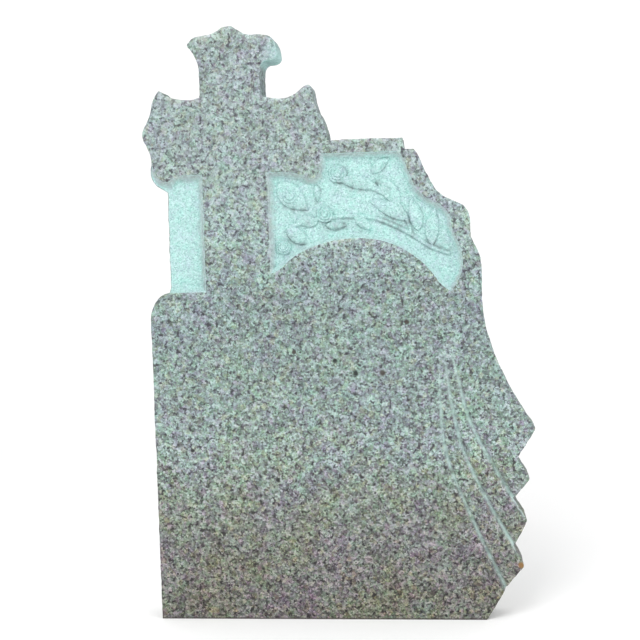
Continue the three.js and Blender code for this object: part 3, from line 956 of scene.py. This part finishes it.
def granite_colour(tree, where):
    """The speckle of grey granite: fine grains, larger tinted ones, a few near-black ones and slow drifts."""
    grain = grains_at(tree, where, GRAIN_SCALE)
    body = ramped(tree, grain[0], GRAIN_TONES)
    body = mixed(tree, 0.6, body, ramped(tree, grain[1], GRAIN_HUES), "SOFT_LIGHT")
    fine = ramped(tree, noise_at(tree, where, FINE_SCALE, 2.0, 0.8), FINE_TONES)
    body = mixed(tree, 0.52, body, fine, "OVERLAY")

    large = grains_at(tree, where, LARGE_SCALE)
    body = mixed(tree, 0.65, body, ramped(tree, large[0], LARGE_TONES), "SOFT_LIGHT")
    body = mixed(tree, 0.5, body, ramped(tree, large[2], LARGE_HUES), "SOFT_LIGHT")

    shifted = node(tree, "ShaderNodeMapping")
    shifted.inputs["Location"].default_value = FLECK_SHIFT
    tree.links.new(where, shifted.inputs["Vector"])
    flecks = noise_at(tree, shifted.outputs["Vector"], FLECK_SCALE, 2.0, 0.5)
    body = mixed(tree, ramped(tree, flecks, FLECK_SHARE), body, FLECK)

    drift = ramped(tree, noise_at(tree, where, DRIFT_SCALE, 3.0, 0.6), DRIFT_HUES)
    return mixed(tree, 0.75, body, drift, "SOFT_LIGHT")


def blasted_colour(tree, where):
    """The light sandblasted ground, whose grains are finer and paler."""
    grain = grains_at(tree, where, BLAST_SCALE)
    colour = ramped(tree, grain[0], BLAST_TONES)
    colour = mixed(tree, 0.5, colour, ramped(tree, grain[1], BLAST_HUES), "SOFT_LIGHT")
    drift = ramped(tree, noise_at(tree, where, BLAST_DRIFT_SCALE, 4.0, 0.7), BLAST_DRIFT_HUES)
    return mixed(tree, 0.55, colour, drift, "SOFT_LIGHT")


def toned_granite(tree, where):
    """The granite with its tone over height, partly painted light and shade: darker, more contrasting and
    stained towards the foot.
    """
    colour, height = granite_colour(tree, where), height_of(tree, where)
    colour = mixed(tree, ramped(tree, height, CONTRAST), colour, colour, "OVERLAY")
    stain = ramped(tree, noise_at(tree, where, STAIN_SCALE, 3.0, 0.55), STAINS)
    colour = mixed(tree, ramped(tree, height, STAIN_SHARE), colour, stain, "SOFT_LIGHT")
    colour = mixed(tree, 1.0, colour, ramped(tree, height, TONE_AND_PAINTED_LIGHT), "MULTIPLY")
    foot = ramped(tree, in_sizes(tree, height, FOOT_LINE), FOOT_LINE_SHARE)
    return mixed(tree, foot, colour, FOOT_LINE_COLOUR)


def marked(tree, where, colour):
    """The colour with the single dark grains and the rust stain that stand out on the polished face."""
    for x, z, radius, tint in MARKS:
        away = node(tree, "ShaderNodeVectorMath", operation="DISTANCE")
        tree.links.new(where, away.inputs[0])
        away.inputs[1].default_value = (x / MM_PER_METRE, FRONT / MM_PER_METRE, z / MM_PER_METRE)
        share = ramped(tree, in_sizes(tree, away.outputs["Value"], radius), MARK_SHARE)
        colour = mixed(tree, share, colour, tint)
    return colour


def bump(tree, shader, where, size, strength, distance):
    """Fine roughness of about `size` metres."""
    rough = noise_at(tree, where, 1 / size, 4.0, 0.6)
    lifted = node(tree, "ShaderNodeBump", Strength=strength, Distance=distance)
    tree.links.new(rough, lifted.inputs["Height"])
    tree.links.new(lifted.outputs["Normal"], shader.inputs["Normal"])


def stone_material(name):
    material, tree, shader = new_material(name)
    return material, tree, shader, node(tree, "ShaderNodeTexCoord").outputs["Object"]


def polished():
    material, tree, shader, where = stone_material("polished granite")
    blast = share_of(tree, "blasted")
    # The pale line along the grooves is partly sandblasted finish and partly a painted highlight.
    colour = mixed(tree, share_of(tree, "pale_line_and_highlight"), toned_granite(tree, where), PALE_LINE_AND_HIGHLIGHT)
    colour = marked(tree, where, colour)
    colour = mixed(tree, blast, colour, blasted_colour(tree, where))
    tree.links.new(colour, shader.inputs["Base Color"])
    tree.links.new(ramped(tree, blast, [(0.0, 0.35), (0.5, 0.8)]), shader.inputs["Roughness"])
    return material


def blasted():
    material, tree, shader, where = stone_material("sandblasted granite")
    # The ground is painted darker along the relief, as painted shade.
    colour = mixed(tree, share_of(tree, "painted_shade"), blasted_colour(tree, where), SHADE_TINT)
    # The granite on the walls is painted lighter, as painted light where the walls lie in shade.
    wall = mixed(tree, WALL_PAINTED_LIGHT_SHARE, toned_granite(tree, where), WALL_PAINTED_LIGHT)
    colour = mixed(tree, share_of(tree, "speckled"), colour, wall)
    tree.links.new(colour, shader.inputs["Base Color"])
    shader.inputs["Roughness"].default_value = 0.9
    bump(tree, shader, where, size=0.0022, strength=0.3, distance=0.0006)
    return material


def sawn():
    material, tree, shader, where = stone_material("sawn granite")
    colour = mixed(tree, 0.12, toned_granite(tree, where), DUST)
    colour = mixed(tree, share_of(tree, "blasted"), colour, blasted_colour(tree, where))
    tree.links.new(colour, shader.inputs["Base Color"])
    shader.inputs["Roughness"].default_value = 0.85
    shader.inputs["Specular IOR Level"].default_value = 0.25
    bump(tree, shader, where, size=0.003, strength=0.4, distance=0.0006)
    return material


stone = bpy.data.objects.new("stone", stone_mesh())
bpy.context.scene.collection.objects.link(stone)
for material in (polished(), blasted(), sawn()):
    stone.data.materials.append(material)
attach(stone, "root")
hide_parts("headstone")

# Studio, in metres: a pale floor that curves up into a pale wall, two soft lights and a white surround

FLOOR_FRONT, FLOOR_BACK, FLOOR_HALF, WALL_TOP, COVE_RADIUS, COVE_POINTS = -6.0, 3.2, 9.0, 6.0, 1.2, 24
LIGHT_AIM = (0, 0, 0.6)
SURROUND = 0.82


def studio():
    cove = [(FLOOR_BACK - COVE_RADIUS + COVE_RADIUS * math.sin(a), COVE_RADIUS - COVE_RADIUS * math.cos(a))
            for a in np.linspace(0, math.pi / 2, COVE_POINTS)]
    profile = [(FLOOR_FRONT, 0.0), *cove, (FLOOR_BACK, WALL_TOP)]
    verts = [(x, y, z) for y, z in profile for x in (-FLOOR_HALF, FLOOR_HALF)]
    faces = [(2 * n, 2 * n + 1, 2 * n + 3, 2 * n + 2) for n in range(len(profile) - 1)]
    mesh = bpy.data.meshes.new("floor")
    mesh.from_pydata(verts, [], faces)
    mesh.shade_smooth()
    floor = bpy.data.objects.new("floor", mesh)
    material, _, shader = new_material("pale floor")
    shader.inputs["Base Color"].default_value = (0.97, 0.97, 0.97, 1)
    shader.inputs["Roughness"].default_value = 0.9
    mesh.materials.append(material)
    bpy.context.scene.collection.objects.link(floor)


def area_light(name, place, size, watts):
    data = bpy.data.lights.new(name, "AREA")
    data.shape, data.size, data.energy = "SQUARE", size, watts
    light = bpy.data.objects.new(name, data)
    light.location = place
    light.rotation_euler = (Vector(LIGHT_AIM) - Vector(place)).to_track_quat("-Z", "Y").to_euler()
    bpy.context.scene.collection.objects.link(light)


studio()
area_light("key", place=(-0.9, -2.6, 3.4), size=2.0, watts=78)
area_light("fill", place=(2.8, -1.8, 1.4), size=2.4, watts=30)

world = bpy.data.worlds.new("studio")
world.use_nodes = True
world.node_tree.nodes["Background"].inputs["Color"].default_value = (1, 1, 1, 1)
world.node_tree.nodes["Background"].inputs["Strength"].default_value = SURROUND
bpy.context.scene.world = world
bpy.context.scene.view_settings.view_transform = "Standard"

# Camera at the photograph's viewing angle: a little to the right, a little above, with a slight roll

YAW, PITCH, ROLL = math.radians(6.1), math.radians(4.0), math.radians(-1.7)
CAMERA_PLACE = (0.2182, -2.4233, 0.7793)
FOCAL_OVER_WIDTH, SENSOR = 1200 / 640, 36.0
# rows: right, down and forward for a camera that looks level along +Y
LEVEL = np.array([[1, 0, 0], [0, 0, -1], [0, 1, 0]], float)


def turn(angle, axis):
    return np.array(Matrix.Rotation(angle, 3, axis))


camera_data = bpy.data.cameras.new("camera")
camera_data.sensor_width = SENSOR
camera_data.lens = SENSOR * FOCAL_OVER_WIDTH
camera_data.clip_start, camera_data.clip_end = 0.05, 60
camera = bpy.data.objects.new("camera", camera_data)
right, down, forward = turn(ROLL, "Z") @ turn(PITCH, "X") @ LEVEL @ turn(YAW, "Z").T
aimed = Matrix(np.stack([right, -down, -forward], 1)).to_4x4()
camera.matrix_world = Matrix.Translation(CAMERA_PLACE) @ aimed
bpy.context.scene.collection.objects.link(camera)
bpy.context.scene.camera = camera
